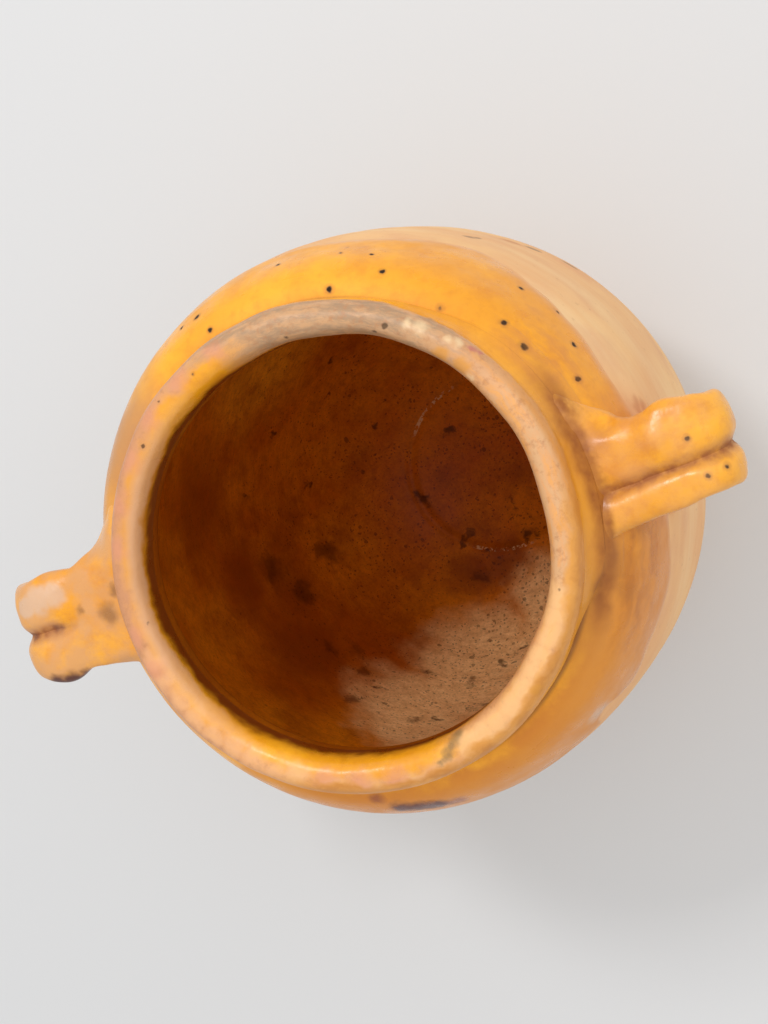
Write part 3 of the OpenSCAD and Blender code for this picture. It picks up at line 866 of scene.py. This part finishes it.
def strap(side, halves, spreads, groove_y, groove_from, lift, seed, lumps):
    """One ear: a grooved bar lofted along its line, smeared out where it meets the pot."""
    line = ear_line()
    bm = bmesh.new()
    turn_layer = bm.verts.layers.float.new("turn")
    groove_layer = bm.verts.layers.float.new("groove")
    ring = bmesh.ops.create_circle(bm, segments=ear_sides, radius=1)["verts"]
    for v in ring:
        v[turn_layer] = math.atan2(v.co.y, v.co.x)
    rings = [ring]
    edges = list(bm.edges)
    for _ in line[1:]:
        grown = bmesh.ops.extrude_edge_only(bm, edges=edges)["geom"]
        rings.append([g for g in grown if isinstance(g, bmesh.types.BMVert)])
        edges = [g for g in grown if isinstance(g, bmesh.types.BMEdge)]
    for i, (ring, (x, z)) in enumerate(zip(rings, line)):
        (ax, az), (bx, bz) = line[max(i - 1, 0)], line[min(i + 1, len(line) - 1)]
        along = math.hypot(bx - ax, bz - az)
        out_x, out_z = -(bz - az) / along, (bx - ax) / along
        on_top = z > ear_bend_z
        at_root = min(max(1 - (x - 64) / 18, 0), 1) if on_top else 0
        at_seat = 0 if on_top else max(0, 1 - max(0, x - ear_seat_x) / 12) ** 2.2
        middle = groove_y[0] + (groove_y[1] - groove_y[0]) * (tip_x - x) / (tip_x - neck_r)
        depth = 2.4 * (ease(x, *groove_from) if on_top else 1 - 0.8 * at_seat)
        for v in ring:
            c, s = math.cos(v[turn_layer]), math.sin(v[turn_layer])
            k = 0 if c > 0 else 1
            core = at_station(halves[k], x if on_top else tip_x)
            extra = spreads[k][0] * at_root ** spreads[k][1] + (1 if k == 0 else 3) * at_seat
            y = (core + extra) * c
            crown = max(0, 1 - abs(c) ** ear_crown) ** (1 / ear_crown)
            flat = math.copysign(ear_t / 2 * crown * (1 + 0.3 * at_seat), s)
            if s > 0:
                share = math.exp(-(abs(y) / 2.3) ** 1.5)
                flat -= depth * share
                v[groove_layer] = share * depth / 2.4
            p = Vector((x + out_x * flat, y + middle, z + out_z * flat))
            if on_top:
                p.z += lift * max(0, 1 - (x - neck_r) / 14) ** 2
                beyond = ease((abs(y) - core * 0.85) / (extra + core * 0.15), 0, 1) * ease(at_root, 0.1, 0.8)
                reach = math.hypot(p.x, p.y)
                skirt = pot_surface(max(reach, 68.5), side > 0) + (1.6 * (1 - abs(c) ** 8) if s > 0 else -3)
                p.z += (skirt - p.z) * beyond * min(extra / 3, 1)
                under = pot_surface(reach, side > 0) + glaze_t - p.z
                if s > 0 and side > 0 and x < 84:
                    melted = math.log(1 + math.exp(min(under, 20))) - 1.3 * ease(under, 0.8, 3)
                    p.z += melted * ease(reach, 65.5, 67.5) - 1.6 * (1 - ease(reach, 67, 70.5))
            p += 0.5 * noise.noise_vector(p / 13 + Vector((seed, 0, 0)))
            p += 0.35 * noise.noise_vector(p / 5.5 + Vector((0, seed, 0)))
            for centre, size, push in lumps:
                p += Vector(push) * math.exp(-((p - Vector(centre)).length / size) ** 2)
            v.co = p * MM
    for ring in (rings[0], rings[-1]):
        loop = [e for e in bm.edges if e.is_boundary and e.verts[0] in ring and e.verts[1] in ring]
        bmesh.ops.edgeloop_fill(bm, edges=loop)
    if side < 0:
        bmesh.ops.rotate(bm, verts=bm.verts, cent=(0, 0, 0), matrix=Matrix.Rotation(math.pi, 3, "Z"))
    bmesh.ops.recalc_face_normals(bm, faces=bm.faces)
    return bm


def ear_finish(name, holes, marks, bare, clay_tint):
    # The same yellow lead glaze over a pulled strap, thumbed and rubbed by every hand that used it.
    # The eye sees ochre with pinker clay showing through, brown in the groove and shiny on the crowns.
    glaze, tree, place, end = material(name)
    surface, core = ochre_glaze(tree, place, [(Vector(p) * MM, size) for p, size in holes], 0.55)
    thin = add(tree, "ShaderNodeTexNoise", {"Vector": place, "Scale": grain(8), "Detail": 5})
    through = add(tree, "ShaderNodeMapRange", {"Value": thin, "From Min": 0.34, "From Max": 0.58,
                                               "To Max": bare})
    groove = add(tree, "ShaderNodeAttribute", {}, out="Fac", attribute_name="groove")
    dirt = add(tree, "ShaderNodeTexNoise", {"Vector": place, "Scale": grain(3), "Detail": 4})
    patchy = add(tree, "ShaderNodeMapRange", {"Value": dirt, "From Min": 0.3, "From Max": 0.6,
                                              "To Min": 0.45, "To Max": 0.9})
    lined = add(tree, "ShaderNodeMapRange", {"Value": groove, "From Min": 0.2, "From Max": 0.9})
    lined = add(tree, "ShaderNodeMath", {0: lined, 1: patchy}, operation="MULTIPLY")
    ragged = shaken(tree, place, 4, 4)
    radius, _, azimuth = round_the_pot(tree, ragged)
    # The ear's root is tinted with dirt and painted shade
    surface = layered(tree, surface, [(through, clay_tint), (lined, "#96552a"),
                                      (root_dirt_and_shade(tree, radius, azimuth, place), "#96520f")])
    surface = marked(tree, ragged, surface, marks)
    dull = add(tree, "ShaderNodeMath", {0: lined, 1: 0.8}, operation="MULTIPLY")
    dull = add(tree, "ShaderNodeMath", {0: dull, 1: core}, operation="MAXIMUM")
    glaze_shader(tree, place, end, surface, dull, 0.23)
    return glaze


def placed(*spots):
    """Spots given as x, y, z and radius in mm, as points in metres with their radii."""
    return [(Vector(spot[:3]) * MM, spot[3]) for spot in spots]


right_holes = [((93.8, 3, 179.2), 0.8), ((101, -6.5, 176.5), 0.9), ((96, -7.3, 178.7), 0.8)]
right_marks = [
    ("#b06a2c", 0.5, 0.7, placed((78, -14, 172, 3), (86, -12.5, 173, 2), (72, 8, 176, 3)))]
left_holes = [((-88, 0.5, 176.5), 0.6)]
left_marks = [
    # A pale worn patch on the ear's crown, partly a painted reflection
    ("#d6b294", 0.75, 0.35, placed((-96, 8.5, 178.7, 3.4), (-91.5, 9.5, 178.7, 4), (-87, 9.5, 178.7, 3.6))),
    ("#8a5a30", 0.7, 0.6, placed((-72.3, 0.5, 178.6, 2.8), (-80, 3.7, 178.6, 1.4), (-68, 6, 178.6, 2))),
    ("#7a4a34", 0.7, 0.6, placed((-89, 0.5, 177, 1.6), (-98, -0.2, 175, 1.8))),
    ("#4a100a", 0.95, 0.5, placed((-94.5, -15, 175.5, 3.4), (-90.5, -15.6, 175.5, 3.6), (-86.5, -15, 175, 2.6)))]

# Half widths of each strap on its two sides, in mm, from the pot to the tip
right_halves = ([(60, 15.4), (77, 15.2), (84, 15.9), (89, 17), (96, 15.2), (102, 13.3)], [(60, 10.4), (102, 10.4)])
left_halves = ([(60, 14), (74, 13.6), (83, 13), (91, 14.2), (95, 14.5), (102, 13)],
               [(60, 15), (79, 15.5), (89, 15.9), (99, 14.8), (102, 14)])
right_lumps = [((100, -6, 176), 5, (0, -0.6, 0)), ((86, 4, 179), 4, (0, 0, 0.7)),
               ((90, -8, 179), 5, (0, 0, -0.5))]
left_lumps = [((91, 14, 175), 5, (0, 1.6, -0.6)), ((91.5, -9.5, 179.5), 5, (0, 0, 1.2))]
right_strap = made("right_strap", strap(1, right_halves, ((15, 1.4), (0.6, 1.6)), (-1.8, -6.2), (64, 68), 1,
                                        3.0, right_lumps))
right_strap.data.materials.append(ear_finish("right_ear_glaze", right_holes, right_marks, 0.3, "#e0a36e"))
left_strap = made("left_strap", strap(-1, left_halves, ((3, 1.8), (15, 1.4)), (0, 0), (78, 92), 3,
                                      8.0, left_lumps))
left_strap.data.materials.append(ear_finish("left_ear_glaze", left_holes, left_marks, 0.85, "#d89c62"))
for piece, node in ((right_strap, "right_ear"), (left_strap, "left_ear")):
    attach(piece, "root")
    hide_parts(node)


# Floor
# A plain pale studio floor under the foot, which is not part of the pot.
# It is a matt, near-white sheet that keeps the pot's soft shadow.

bm = bmesh.new()
bmesh.ops.create_grid(bm, x_segments=1, y_segments=1, size=6)
floor = made("studio_floor", bm)
paper, tree, place, end = material("matt_paper")
sheet = add(tree, "ShaderNodeBsdfPrincipled",
            {"Base Color": colour("#d6d6d6"), "Roughness": 0.9, "Specular IOR Level": 0.2})
tree.links.new(sheet, end.inputs["Surface"])
floor.data.materials.append(paper)


# Light and camera
# A soft window light from the upper side of the picture, a pale room all round, and a camera
# that looks down into the mouth from the photograph's own place.

def lamp(name, toward, distance, size, power):
    """A square soft light at a distance from the pot's mouth, turned to face it."""
    aim = Vector((0, 0, pot_h * 0.8)) * MM
    light = bpy.data.lights.new(name, "AREA")
    light.size = size
    light.energy = power
    body = bpy.data.objects.new(name, light)
    direction = Vector(toward).normalized()
    body.matrix_world = Matrix.Translation(aim + direction * distance) @ \
        direction.to_track_quat("Z", "Y").to_matrix().to_4x4()
    bpy.context.scene.collection.objects.link(body)


lamp("window", (-0.1, 0.52, 0.85), 1.1, 0.2, 3.9)
lamp("white_wall", (0.5, 0.35, 0.8), 1.3, 1.4, 4.1)

room = bpy.data.worlds.new("room")
room.use_nodes = True
room.node_tree.nodes["Background"].inputs["Color"].default_value = colour("#f2f3f4")
room.node_tree.nodes["Background"].inputs["Strength"].default_value = 0.9
bpy.context.scene.world = room

eye = Vector((158.44, 35.66, 593.79)) * MM
ahead = Vector((-0.3292, -0.0667, -0.9419)).normalized()
up = Vector((0.2627, 0.9517, -0.1592))
up = (up - ahead * up.dot(ahead)).normalized()
right = ahead.cross(up)
lens_px = 1700       # focal length for a picture 1024 px high
camera_data = bpy.data.cameras.new("camera")
camera_data.sensor_fit = "VERTICAL"
camera_data.sensor_height = 36
camera_data.lens = 36 * lens_px / 1024
camera = bpy.data.objects.new("camera", camera_data)
camera.matrix_world = Matrix.Translation(eye) @ Matrix((right, up, -ahead)).transposed().to_4x4()
bpy.context.scene.collection.objects.link(camera)
bpy.context.scene.camera = camera
bpy.context.scene.view_settings.view_transform = "Standard"
